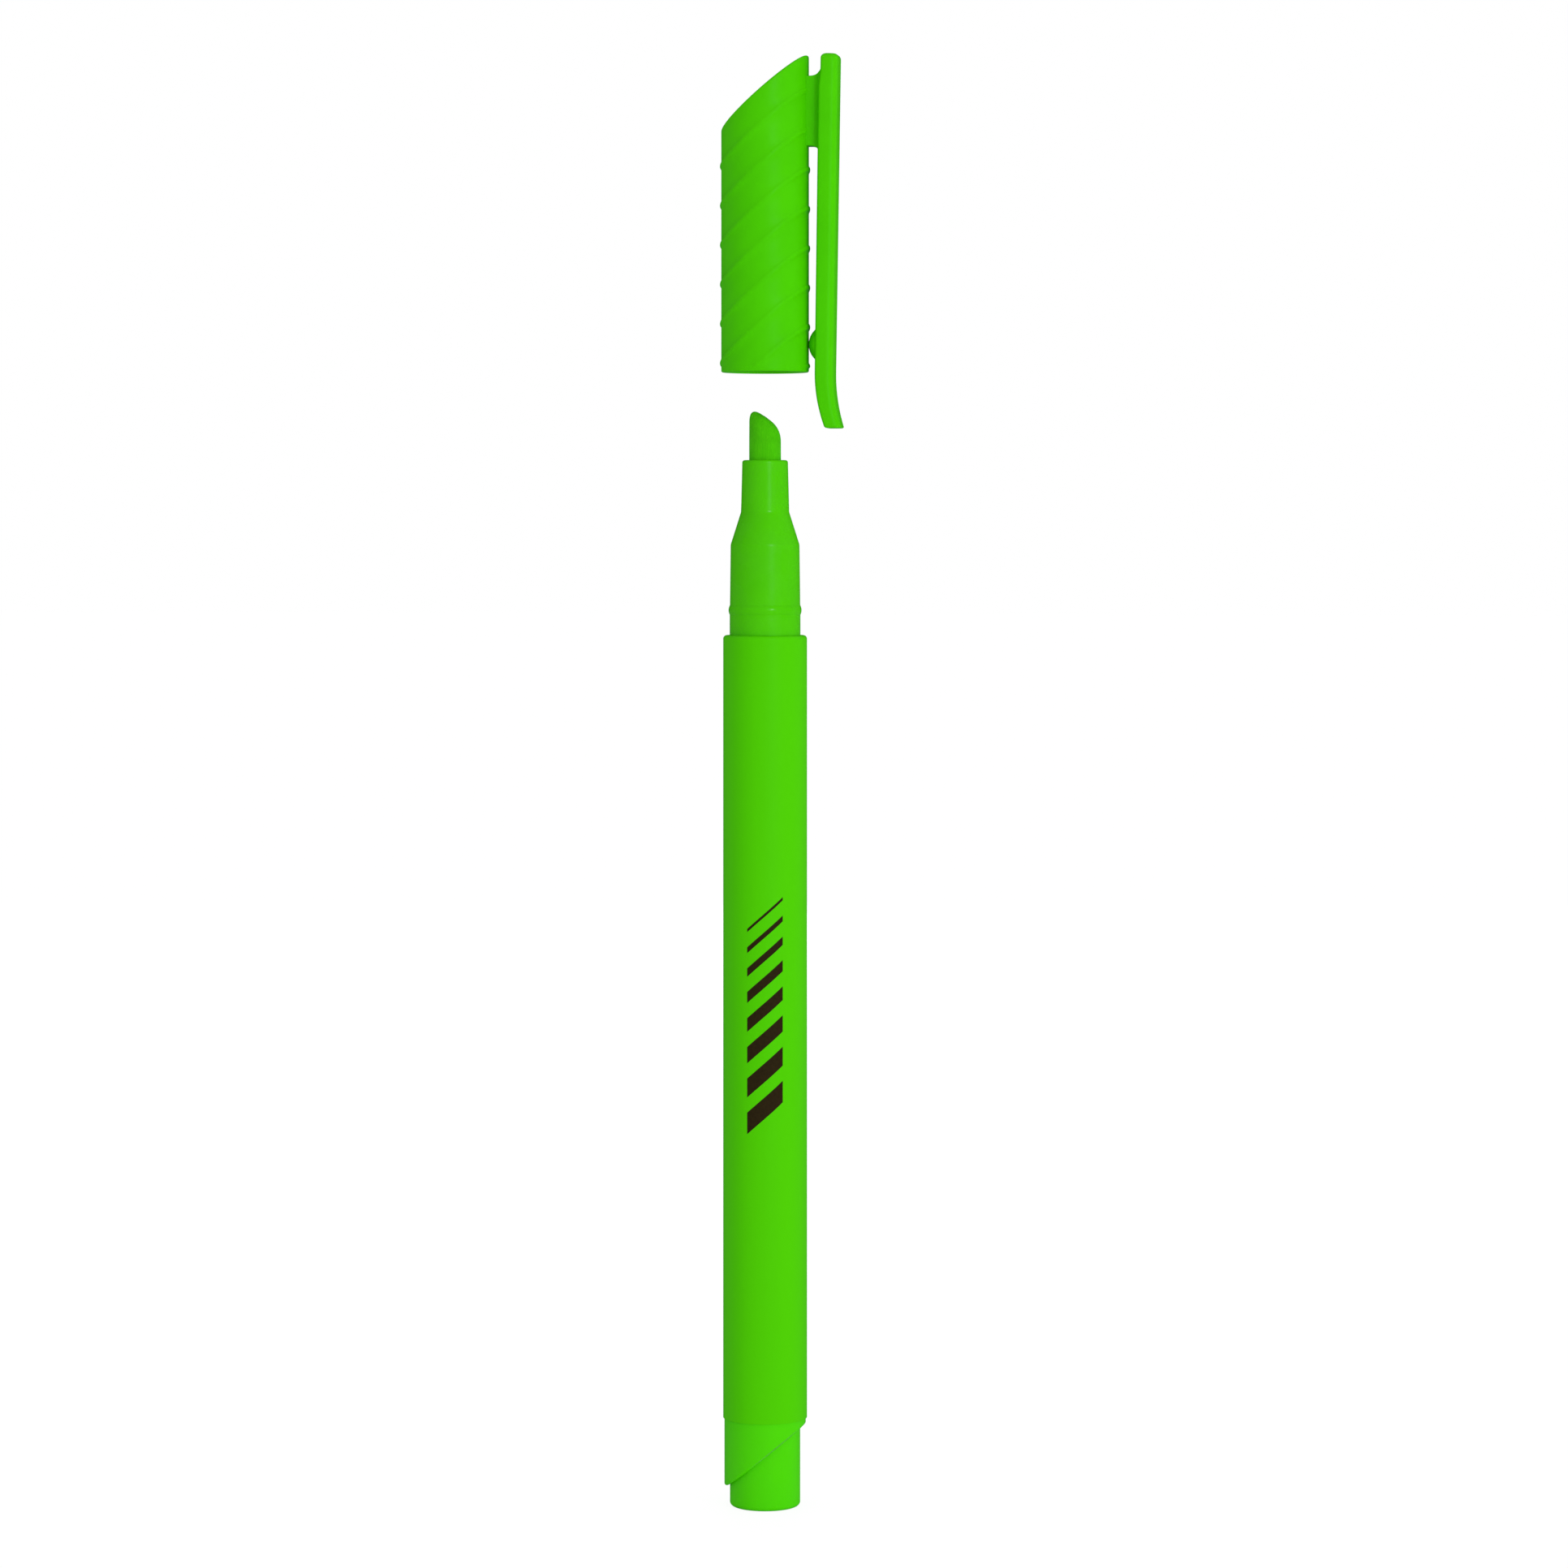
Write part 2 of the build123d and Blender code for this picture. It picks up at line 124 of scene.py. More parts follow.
NIB_DROP = math.tan(math.radians(35.0)) # fall of the nib's slanted end towards the clip's side
NIB_CORNER = NIB_HIGH.z + 0.73 * MM     # where the slant would meet the nib's far side unrounded
NIB_EDGE_HALF = 1.0 * MM                # half the writing edge's width
NIB_TAPER = 3.0 * MM                    # height over which the nib's broad sides narrow to the edge
NIB_TAPER_ROUND = 1.0 * MM
NIB_EDGE_ROUND = 0.5 * MM
NIB_CHAMFER = 0.4 * MM                  # at the rear end
NIB_SEGMENTS = 96

STUB_R = 4.325 * MM                     # the slim end of the tail, below its slanted step
STEP_Z = 6.12 * MM                      # the step's height on the axis
STEP_SLOPE = math.tan(math.radians(39.0))
RUB_ANGLE = math.radians(-67)           # where the step's rim is rubbed bright
RUB_HALF = math.radians(38)
RIM_WIDTH = 0.2 * MM

PRINT_LOW, PRINT_HIGH = BARREL_LOW.z + 35.4 * MM, BARREL_LOW.z + 64.4 * MM
PRINT_WIDTH = 4.5 * MM
PRINT_ANGLE = math.radians(-81.5)
PRINT_STRIPES = 8
THINNEST_STRIPE, STRIPE_GROWTH = 0.4 * MM, 0.32 * MM
INK_PROUD = 0.012 * MM

BUMP_DEPTH = 0.02 * MM                  # depth of the plastics' fine texture
FIBRE_DEPTH = 0.05 * MM
LOW_SHEEN = 0.04                        # specular level of the cap's and the barrel's plastic

FILL = 0.72                             # brightness of the white surroundings as fill light
MIRRORED_FILL = 0.02                    # and as seen in glossy reflections
FLOOR_HALF = 6.0                        # half the floor's side
LIGHT_DISTANCE = 0.9                    # from the middle of the picture to each light

VIEW_AZIMUTH = math.radians(8.5)
VIEW_DISTANCE = 570 * MM
EYE_HEIGHT = 120 * MM
PICTURE_MIDDLE = 88.8 * MM              # height at the middle of the picture
VIEW_SHIFT = 2.33 * MM                  # the pen stands a little left of the picture's centre
FRAME_WIDTH = 193.2 * MM                # what the picture spans at the pen


# ---------------------------------------------------------------- node helpers

class Nodes:
    """A short way to write a material's node tree."""

    def __init__(self, name, tree=None):
        if tree is None:
            self.material = bpy.data.materials.new(name)
            self.material.use_nodes = True
            tree = self.material.node_tree
        self.tree = tree
        self.tree.nodes.clear()

    def add(self, kind, **inputs):
        """A new node; an input's name has underscores for its spaces."""
        node = self.tree.nodes.new(kind)
        for key, value in inputs.items():
            self.feed(node.inputs[key.replace("_", " ")], value)
        return node

    def feed(self, socket, value):
        if isinstance(value, bpy.types.NodeSocket):
            self.tree.links.new(value, socket)
        else:
            socket.default_value = value

    def math(self, operation, a, b=0.0, clamp=False):
        node = self.tree.nodes.new("ShaderNodeMath")
        node.operation = operation
        node.use_clamp = clamp
        self.feed(node.inputs[0], a)
        self.feed(node.inputs[1], b)
        return node.outputs[0]

    def noise(self, scale, detail=3.0, stretch=(1, 1, 1)):
        """Noise in the part's own coordinates; scale is in features per metre."""
        place = self.add("ShaderNodeTexCoord").outputs["Object"]
        mapping = self.add("ShaderNodeMapping", Vector=place, Scale=stretch)
        spots = self.add("ShaderNodeTexNoise", Vector=mapping.outputs[0], Scale=scale, Detail=detail)
        return spots.outputs["Fac"]

    def position(self):
        """The x, y and z of the point being shaded, in the part's own coordinates."""
        place = self.add("ShaderNodeTexCoord").outputs["Object"]
        return self.add("ShaderNodeSeparateXYZ", Vector=place).outputs

    def between(self, factor, low, high):
        """A value that runs from low to high as the factor runs over noise's usual spread."""
        node = self.add("ShaderNodeMapRange")
        self.feed(node.inputs["Value"], factor)
        for key, value in (("From Min", 0.3), ("From Max", 0.7), ("To Min", low), ("To Max", high)):
            node.inputs[key].default_value = value
        return node.outputs[0]

    def mix(self, factor, a, b):
        node = self.tree.nodes.new("ShaderNodeMix")
        node.data_type = "RGBA"
        self.feed(node.inputs[0], factor)
        self.feed(node.inputs[6], a)
        self.feed(node.inputs[7], b)
        return node.outputs[2]

    def shader_mix(self, factor, a, b):
        node = self.tree.nodes.new("ShaderNodeMixShader")
        self.feed(node.inputs[0], factor)
        self.feed(node.inputs[1], a.outputs[0])
        self.feed(node.inputs[2], b.outputs[0])
        return node

    def bump(self, height, strength, depth, normal=None):
        node = self.add("ShaderNodeBump", Strength=strength, Distance=depth, Height=height)
        if normal is not None:
            self.feed(node.inputs["Normal"], normal)
        return node.outputs[0]

    def finish(self, **inputs):
        self.show(self.add("ShaderNodeBsdfPrincipled", **inputs))
        return self.material

    def show(self, shader, output="ShaderNodeOutputMaterial"):
        self.tree.links.new(shader.outputs[0], self.add(output).inputs["Surface"])


def srgb(red, green, blue):
    """An 8-bit screen colour as the linear colour a shader takes."""
    def linear(value):
        value /= 255
        return value / 12.92 if value <= 0.04045 else ((value + 0.055) / 1.055) ** 2.4
    return (linear(red), linear(green), linear(blue), 1)


# ---------------------------------------------------------------- materials

def moulded_surface(n, colour, deep, roughness):
    """Colour, roughness and normal of a moulding: faint flow marks, uneven gloss, a fine skin."""
    base = n.mix(n.between(n.noise(180, 4), 0, 1), colour, deep)
    gloss = n.between(n.noise(420, 5), roughness - 0.05, roughness + 0.07)
    texture = n.bump(n.noise(5200, 3), 0.12, BUMP_DEPTH)
    return base, gloss, texture


def moulded_plastic(name, colour, deep, roughness, sheen):
    """Self-coloured polypropylene."""
    n = Nodes(name)
    base, gloss, texture = moulded_surface(n, colour, deep, roughness)
    return n.finish(Base_Color=base, Roughness=gloss, Specular_IOR_Level=sheen, Normal=texture)


def print_mask(n):
    """Stripes of growing thickness, slanted like the rings on the cap, printed on the barrel."""
    x, y, z = n.position()
    turn = n.math("SUBTRACT", n.math("ARCTAN2", y, x), PRINT_ANGLE)
    across = n.math("MULTIPLY", turn, BARREL_R)
    climb = n.math("SUBTRACT", z, n.math("MULTIPLY", across, SLOPE))
    slant = PRINT_WIDTH * SLOPE
    stripes = [THINNEST_STRIPE + STRIPE_GROWTH * i for i in range(PRINT_STRIPES)]
    gap = (PRINT_HIGH - PRINT_LOW - slant - sum(stripes)) / (PRINT_STRIPES - 1)
    mask, top = 0.0, PRINT_HIGH - slant / 2
    for thick in stripes:
        away = n.math("ABSOLUTE", n.math("SUBTRACT", climb, top - thick / 2))
        mask = n.math("ADD", n.math("LESS_THAN", away, thick / 2), mask)
        top -= thick + gap
    inside = n.math("LESS_THAN", n.math("ABSOLUTE", across), PRINT_WIDTH / 2)
    return n.math("MULTIPLY", mask, inside, clamp=True)


def barrel_plastic():
    """Extruded tube: fine draw lines along the pen, and the dark print."""
    n = Nodes("barrel_plastic")
    along = (1, 1, 0.02)
    green = n.mix(n.between(n.noise(260, 3, along), 0, 1), srgb(76, 200, 0), srgb(74, 197, 0))
    ink = n.mix(n.noise(3000, 2), srgb(34, 26, 12), srgb(48, 38, 16))
    mask = print_mask(n)
    colour = n.mix(mask, green, ink)
    gloss = n.between(n.noise(700, 4, along), 0.33, 0.42)
    gloss = n.math("ADD", gloss, n.math("MULTIPLY", mask, 0.15))
    lines = n.bump(n.noise(3000, 3, along), 0.10, BUMP_DEPTH)
    raised = n.bump(mask, 0.25, INK_PROUD, lines)
    return n.finish(Base_Color=colour, Roughness=gloss, Specular_IOR_Level=LOW_SHEEN, Normal=raised)


def rubbed_rim(n):
    """1 in the middle of the rubbed stretch of the slanted step's rim, fading to 0 at its ends."""
    x, y, z = n.position()
    radius = n.math("SQRT", n.math("ADD", n.math("MULTIPLY", x, x), n.math("MULTIPLY", y, y)))
    level = n.math("SUBTRACT", z, n.math("MULTIPLY", x, STEP_SLOPE))
    on_rim = n.math("LESS_THAN", level, TAIL_LOW.z + STEP_Z + RIM_WIDTH)
    on_collar = n.math("GREATER_THAN", radius, STUB_R + RIM_WIDTH)
    away = n.math("ABSOLUTE", n.math("SUBTRACT", n.math("ARCTAN2", y, x), RUB_ANGLE))
    stretch = n.math("SUBTRACT", 1.0, n.math("DIVIDE", away, RUB_HALF), clamp=True)
    return n.math("MULTIPLY", n.math("MULTIPLY", on_rim, on_collar), stretch)


def plug_plastic():
    """A moulding with a stretch of the slanted step's rim rubbed bright."""
    n = Nodes("plug_plastic")
    rubbed = rubbed_rim(n)
    base, gloss, texture = moulded_surface(n, srgb(75, 211, 0), srgb(72, 207, 0), 0.34)
    gloss = n.math("SUBTRACT", gloss, n.math("MULTIPLY", rubbed, 0.15))
    sheen = n.math("ADD", n.math("MULTIPLY", rubbed, 5.0), 0.08)
    return n.finish(Base_Color=base, Roughness=gloss, Specular_IOR_Level=sheen, Normal=texture)


def nib_felt():
    """Bonded fibre soaked with ink: fibres along the nib, matt, darker where it is wetter."""
    n = Nodes("nib_felt")
    fibres = n.noise(9000, 4, (1, 1, 0.08))
    wet = n.noise(500, 3)
    base = n.mix(n.between(wet, 0, 1), srgb(66, 187, 0), srgb(59, 172, 0))
    base = n.mix(n.between(fibres, 0, 0.35), base, srgb(92, 210, 10))
    rough = n.bump(fibres, 0.5, FIBRE_DEPTH)
    return n.finish(Base_Color=base, Roughness=0.9, Specular_IOR_Level=0.1, Normal=rough)


def wadding():
    """The reservoir's loose fibres, soaked with ink."""
    n = Nodes("ink_wadding")
    fibres = n.noise(6000, 4, (1, 1, 0.1))
    base = n.mix(n.between(fibres, 0, 1), srgb(90, 215, 20), srgb(70, 190, 5))
    rough = n.bump(fibres, 0.6, 2 * FIBRE_DEPTH)
    return n.finish(Base_Color=base, Roughness=0.95, Specular_IOR_Level=0.1, Normal=rough)


def milky_plastic():
    """The seal liner's uncoloured polyethylene."""
    n = Nodes("milky_polyethylene")
    base = n.mix(n.between(n.noise(300), 0, 1), srgb(232, 238, 226), srgb(222, 230, 214))
    return n.finish(Base_Color=base, Roughness=0.45, Specular_IOR_Level=0.3)


def clear_film():
    """The thin film round the reservoir."""
    n = Nodes("clear_film")
    base = n.mix(n.between(n.noise(900, 4), 0, 1), srgb(236, 246, 226), srgb(222, 240, 206))
    return n.finish(Base_Color=base, Roughness=0.2, Alpha=0.5)


def paint_nodes():
    """Gives every carried-over CAD node its material."""
    nose = moulded_plastic("nose_plastic", srgb(75, 197, 0), srgb(71, 192, 0), 0.26, sheen=0.12)
    looks = {
        "barrel_tube": barrel_plastic(),
        "tail_plug": plug_plastic(),
        "nose_section": nose,
        "reservoir_core": wadding(),
        "reservoir_film": clear_film(),
        "cap_seal_liner": milky_plastic(),
    }
    for node, material in looks.items():
        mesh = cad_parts[node].data
        mesh.materials.clear()
        mesh.materials.append(material)


# ---------------------------------------------------------------- mesh helpers

def new_piece(name, bm, material):
    """A smooth-shaded object from a bmesh."""
    bmesh.ops.recalc_face_normals(bm, faces=bm.faces)
    mesh = bpy.data.meshes.new(name)
    bm.to_mesh(mesh)
    bm.free()
    for face in mesh.polygons:
        face.use_smooth = True
    mesh.materials.append(material)
    piece = bpy.data.objects.new(name, mesh)
    bpy.context.scene.collection.objects.link(piece)
    return piece


def loop_of(bm, points):
    return [bm.verts.new(p) for p in points]


def bridge(bm, loop_a, loop_b):
    """Quads between two closed loops with the same number of points."""
    count = len(loop_a)
    for i in range(count):
        j = (i + 1) % count
        bm.faces.new((loop_a[i], loop_a[j], loop_b[j], loop_b[i]))


def fan(bm, loop, centre):
    """Triangles from a closed loop to one point."""
    tip = bm.verts.new(centre)
    count = len(loop)
    for i in range(count):
        bm.faces.new((loop[i], loop[(i + 1) % count], tip))


def join_rows(bm, rows):
    """Joins closed loops one after another, and closes both ends."""
    for one, following in zip(rows, rows[1:]):
        bridge(bm, one, following)
    for row in (rows[0], rows[-1]):
        fan(bm, row, sum((v.co for v in row), Vector()) / len(row))


def smoothstep(low, high, value):
    t = min(1.0, max(0.0, (value - low) / (high - low)))
    return t * t * (3 - 2 * t)


def polar(radius, turn, height):
    return Vector((radius * math.cos(turn), radius * math.sin(turn), height))


def turns_of(segments):
    return [2 * math.pi * i / segments for i in range(segments)]


def skin(bm, columns):
    """Faces over columns of points that stand side by side in a closed ring."""
    rows = [loop_of(bm, [column[i] for column in columns]) for i in range(len(columns[0]))]
    for low, high in zip(rows, rows[1:]):
        bridge(bm, low, high)
    return rows


def bow(start, corner, end, steps):
    """Points of a curve that leaves start towards a corner and arrives at end, without start."""
    points = []
    for i in range(1, steps + 1):
        t = i / steps
        points.append(start * (1 - t) ** 2 + corner * (2 * t * (1 - t)) + end * t ** 2)
    return points


# ---------------------------------------------------------------- nib

def nib_column(turn):
    """The nib's outline at one turn round its axis, from its rear end up to its middle."""
    towards = math.cos(turn)
    edge = 1 / math.hypot(towards / NIB_R, math.sin(turn) / NIB_EDGE_HALF)

    def slanted(radius):
        return Vector((radius, NIB_CORNER - (radius * towards + NIB_R) * NIB_DROP))

    peak_side = 1.0 if towards < 0 else 0.4  # the high corner is rounder than the low one
    taper = NIB_TAPER + peak_side * towards ** 2 * MM
    edge_round = NIB_EDGE_ROUND + (0.75 + 0.4 * peak_side) * towards ** 2 * MM
    corner = slanted(edge)
    shoulder = Vector((NIB_R, corner.y - taper))
    middle = (shoulder + corner) / 2
    wall = Vector((NIB_R, shoulder.y - NIB_TAPER_ROUND))
    inner = slanted(edge - edge_round)
    outline = [Vector((NIB_R - NIB_CHAMFER, NIB_LOW.z)), Vector((NIB_R, NIB_LOW.z + NIB_CHAMFER)), wall]
    outline += bow(wall, shoulder, middle, 8) + bow(middle, corner, inner, 12)
    outline += [slanted(inner.x * share) for share in (0.75, 0.5, 0.25)]
    return [polar(p.x, turn, p.y) for p in outline]


def felt_nib(material):
    """The fibre nib: round below, with two broad sides that narrow to the slanted edge."""
    bm = bmesh.new()
    rows = skin(bm, [nib_column(turn) for turn in turns_of(NIB_SEGMENTS)])
    fan(bm, rows[0], (0, 0, NIB_LOW.z))
    fan(bm, rows[-1], (0, 0, NIB_CORNER - NIB_R * NIB_DROP))
    nib = new_piece("felt_nib", bm, material)
    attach(nib, "pen")
    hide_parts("nib")


# ---------------------------------------------------------------- cap

def sheared(level, radius, turn):
    """The height on a slanted plane that crosses the axis at a level."""
    return level + SLOPE * radius * math.cos(turn)


def steepness(turn):
    """How much longer a ring is along the wall than straight round, at one turn."""
    return math.sqrt(1 + (SLOPE * math.sin(turn)) ** 2)


def ring_height(level, turn, height):
    """How far the wall stands proud for the slanted rings, at a level of the slanted planes."""
    nearest = round((RING_TOP_Z - level) / RING_PITCH)
    nearest = min(RING_COUNT - 1, max(0, nearest))
    away = abs(level - (RING_TOP_Z - nearest * RING_PITCH)) / steepness(turn)
    if away >= RING_HALF:
        return 0.0
    crown = math.sqrt(RING_WIRE_R ** 2 - away ** 2) - RING_SUNK
    fade = RING_FRONT + (1 - RING_FRONT) * math.cos(turn) ** 2
    return crown * fade * smoothstep(0, RING_RUN_OUT, height - MOUTH_Z - LIP_HEIGHT)


def wall_levels(turn):
    """The slanted levels of the wall's rows, bottom to top, with close rows over each ring."""
    half = RING_HALF * steepness(turn)
    free = RING_PITCH - 2 * half
    ring_rows, between_rows = 12, 4
    levels = []
    for i in reversed(range(RING_COUNT)):
        middle = RING_TOP_Z - i * RING_PITCH
        levels += [middle + half * (2 * j / ring_rows - 1) for j in range(ring_rows + 1)]
        levels += [middle + half + free * j / between_rows for j in range(1, between_rows)]
    top, closest = ROOF_Z - WALL_TOP_DROP, 0.2 * MM
    return [level for level in levels if level < top - closest] + [top]


def roof_round(turn):
    """The rounding between the wall and the slanted top, as (radius, height) points upwards."""
    lean = SLOPE * math.cos(turn)
    corner = Vector((CAP_R, sheared(ROOF_Z, CAP_R, turn)))
    down = Vector((0, -1))
    inward = Vector((-1, -lean)).normalized()
    half = down.angle(inward) / 2
    along = (down + inward).normalized()
    radius = ROOF_ROUND_LOW + (ROOF_ROUND_HIGH - ROOF_ROUND_LOW) * (1 + math.cos(turn)) / 2
    middle = corner + along * (radius / math.sin(half))
    touch = corner + down * (radius / math.tan(half))
    leave = corner + inward * (radius / math.tan(half))
    first, last = touch - middle, leave - middle
    sweep = first.angle(last)
    steps = 9
    points = []
    for i in range(steps + 1):
        a = sweep * i / steps
        spoke = (first * math.sin(sweep - a) + last * math.sin(a)) / math.sin(sweep)
        points.append(middle + spoke)
    return points


def outer_wall(bm):
    """The ringed outside of the cap, its rounded rim and its slanted top."""
    columns = []
    for turn in turns_of(CAP_SEGMENTS):
        column = []
        for level in wall_levels(turn):
            height = sheared(level, CAP_R, turn)
            column.append(polar(CAP_R + ring_height(level, turn, height), turn, height))
        rim = roof_round(turn)
        column += [polar(p.x, turn, p.y) for p in rim]
        inner = rim[-1].x
        for share in (0.85, 0.65, 0.45, 0.25, 0.1):
            column.append(polar(inner * share, turn, sheared(ROOF_Z, inner * share, turn)))
        columns.append(column)
    rows = skin(bm, columns)
    fan(bm, rows[-1], (0, 0, ROOF_Z))


def open_loop(bm, height):
    """The boundary vertices near a height, in order round the axis."""
    near = 0.01 * MM
    verts = {v for e in bm.edges if e.is_boundary for v in e.verts if abs(v.co.z - height) < near}
    return sorted(verts, key=lambda v: math.atan2(v.co.y, v.co.x))


def inside_profile():
    """(radius, height) points from the lip, round its edge and up the bore."""
    points = []
    steps = 6
    for i in range(1, steps + 1):
        a = math.pi / 2 * i / steps
        radius, height = CAP_R - LIP_ROUND * (1 - math.cos(a)), MOUTH_Z + LIP_ROUND * (1 - math.sin(a))
        points.append((radius, height))
    points += [(CAP_BORE_R + LIP_LEAD_IN, MOUTH_Z), (CAP_BORE_R, MOUTH_Z + LIP_LEAD_IN)]
    steps = 8
    for i in range(steps + 1):
        depth = GROOVE_DEPTH * math.sin(math.pi * i / steps)
        points.append((CAP_BORE_R + depth, GROOVE_LOW + (GROOVE_HIGH - GROOVE_LOW) * i / steps))
    return points + [(CAP_BORE_R, height) for height in BORE_ROWS]


def cap_body(material):
    """The cap's outside, cut level above its lip and carried on round the lip and up the bore."""
    bm = bmesh.new()
    outer_wall(bm)
    cut = MOUTH_Z + LIP_HEIGHT
    everything = list(bm.verts) + list(bm.edges) + list(bm.faces)
    plane = {"plane_co": (0, 0, cut), "plane_no": (0, 0, 1)}
    bmesh.ops.bisect_plane(bm, geom=everything, dist=1e-7, clear_inner=True, **plane)
    loop = open_loop(bm, cut)
    turns = [math.atan2(v.co.y, v.co.x) for v in loop]
    for vert, turn in zip(loop, turns):
        vert.co = polar(CAP_R, turn, cut)
    for radius, height in [(CAP_R, MOUTH_Z + LIP_ROUND)] + inside_profile():
        following = loop_of(bm, [polar(radius, turn, height) for turn in turns])
        bridge(bm, loop, following)
        loop = following
    ceiling = ROOF_Z - CAP_ROOF * math.sqrt(1 + SLOPE ** 2)
    for share in (1.0, 0.7, 0.35):
        radius = CAP_BORE_R * share
        following = loop_of(bm, [polar(radius, turn, sheared(ceiling, radius, turn)) for turn in turns])
        bridge(bm, loop, following)
        loop = following
    fan(bm, loop, (0, 0, ceiling))
    bmesh.ops.remove_doubles(bm, verts=bm.verts, dist=0.002 * MM)
    body = new_piece("cap_body", bm, material)
    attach(body, "cap")
    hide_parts("cap_shell")


# ---------------------------------------------------------------- clip

def clip_inner(z):
    """The clip's face towards the cap: almost straight, then curling away at its end."""
    x = CLIP_INNER_X + CLIP_INNER_LEAN * (z - CLIP_BEND_Z)
    head = CLIP_HEAD_STEP * smoothstep(CLIP_HEAD_LOW, CLIP_HEAD_HIGH, z)
    return x + head + curl(z, INNER_CURL)


def clip_outer(z):
    return CLIP_OUTER_X + CLIP_OUTER_LEAN * (z - CLIP_BEND_Z) + curl(z, OUTER_CURL)


def curl(z, rate):
    """How far the clip's end has curled away at a height."""
    below = max(0.0, CLIP_BEND_Z - z) / MM
    return rate * below ** 2 * MM


def rounded_section(x_in, x_out, half, round_in, round_out, steps=7):
    """Points round a rounded oblong in the XY plane; the side at x_in has extra points."""
    corners = [
        (x_in + round_in, -half + round_in, round_in, math.pi),
        (x_out - round_out, -half + round_out, round_out, 1.5 * math.pi),
        (x_out - round_out, half - round_out, round_out, 0.0),
        (x_in + round_in, half - round_in, round_in, 0.5 * math.pi),
    ]
    points = []
    for x, y, radius, start in corners:
        for i in range(steps + 1):
            a = start + math.pi / 2 * i / steps
            points.append((x + radius * math.cos(a), y + radius * math.sin(a)))
    first, last = points[-1], points[0]
    flats = 24
    for i in range(1, flats):
        points.append((x_in, first[1] + (last[1] - first[1]) * i / flats))
    return points


def ball_push(x, y, z):
    """Pushes a point of the inner face out onto the gripping bump."""
    flat = (y - BALL_CENTRE.y) ** 2 + (z - BALL_CENTRE.z) ** 2
    if flat >= BALL_R ** 2:
        return x
    bump = BALL_CENTRE.x - math.sqrt(BALL_R ** 2 - flat)
    gap = x - bump
    if gap > BALL_BLEND:
        return bump
    if gap < -BALL_BLEND:
        return x
    return x - (gap + BALL_BLEND) ** 2 / (4 * BALL_BLEND)


def rounded_ends(low, high, round_low, round_high, step_at):
    """(height, inset) pairs from high to low whose insets round off both ends."""
    steps = 7
    pairs = []
    for i in range(steps):
        a = math.pi / 2 * i / steps
        pairs.append((high - round_high * (1 - math.sin(a)), round_high * (1 - math.cos(a))))
    pairs.reverse()
    z = high - round_high
    while z - step_at(z) > low + round_low:
        z -= step_at(z)
        pairs.append((z, 0.0))
    for i in range(steps):
        a = math.pi / 2 * i / steps
        pairs.append((low + round_low * (1 - math.sin(a)), round_low * (1 - math.cos(a))))
    return pairs


def clip_step(z):
    """The spacing of the clip's rows: close together over the gripping bump."""
    return CLIP_ROW_FINE if abs(z - BALL_CENTRE.z) < BALL_R else CLIP_ROW


def pocket_clip(material):
    """The whole clip as one moulding; the real one bends just below the web that joins it to the cap."""
    bm = bmesh.new()
    rows = []
    for z, inset in rounded_ends(CLIP_END, CLIP_TOP, CLIP_END_ROUND, CLIP_TOP_ROUND, clip_step):
        x_in, x_out = clip_inner(z) + inset, clip_outer(z) - inset
        section = rounded_section(x_in, x_out, CLIP_HALF_WIDTH - inset, CLIP_BACK_EDGE, CLIP_EDGE)
        on_face = x_in + 1e-7
        rows.append(loop_of(bm, [(ball_push(x, y, z) if x < on_face else x, y, z) for x, y in section]))
    join_rows(bm, rows)
    clip = new_piece("pocket_clip", bm, material)
    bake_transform(clip)
    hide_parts("clip_arm")


def hollow_round(away, fillet):
    """How high a hollow fillet stands on the web, at a distance away from the clip's face."""
    width, height = fillet
    t = min(1.0, max(0.0, 1 - away / width))
    return height * (1 - math.sqrt(1 - t ** 2))


def clip_web(material):
    """The web between cap and clip, with a hollow fillet where it runs into the clip."""
    bm = bmesh.new()
    x_low, x_high = CAP_R - WEB_ROOT, clip_inner(WEB_HIGH) + WEB_REACH
    face_low, face_high = [clip_inner(z) for z in (WEB_LOW - FILLET_DOWN[1], WEB_HIGH + FILLET_UP[1])]
    steps = 40
    rows = []
    for i in range(steps + 1):
        x = x_low + (x_high - x_low) * i / steps
        low = WEB_LOW - hollow_round(face_low - x, FILLET_DOWN)
        high = WEB_HIGH + hollow_round(face_high - x, FILLET_UP)
        half = WEB_HALF + hollow_round(clip_inner(WEB_LOW) - x, FILLET_SIDE)
        section = rounded_section(low, high, half, WEB_EDGE, WEB_EDGE, 4)
        rows.append(loop_of(bm, [(x, y, z) for z, y in section]))
    join_rows(bm, rows)
    web = new_piece("clip_web", bm, material)
    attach(web, "cap")


# ---------------------------------------------------------------- stage, light and camera

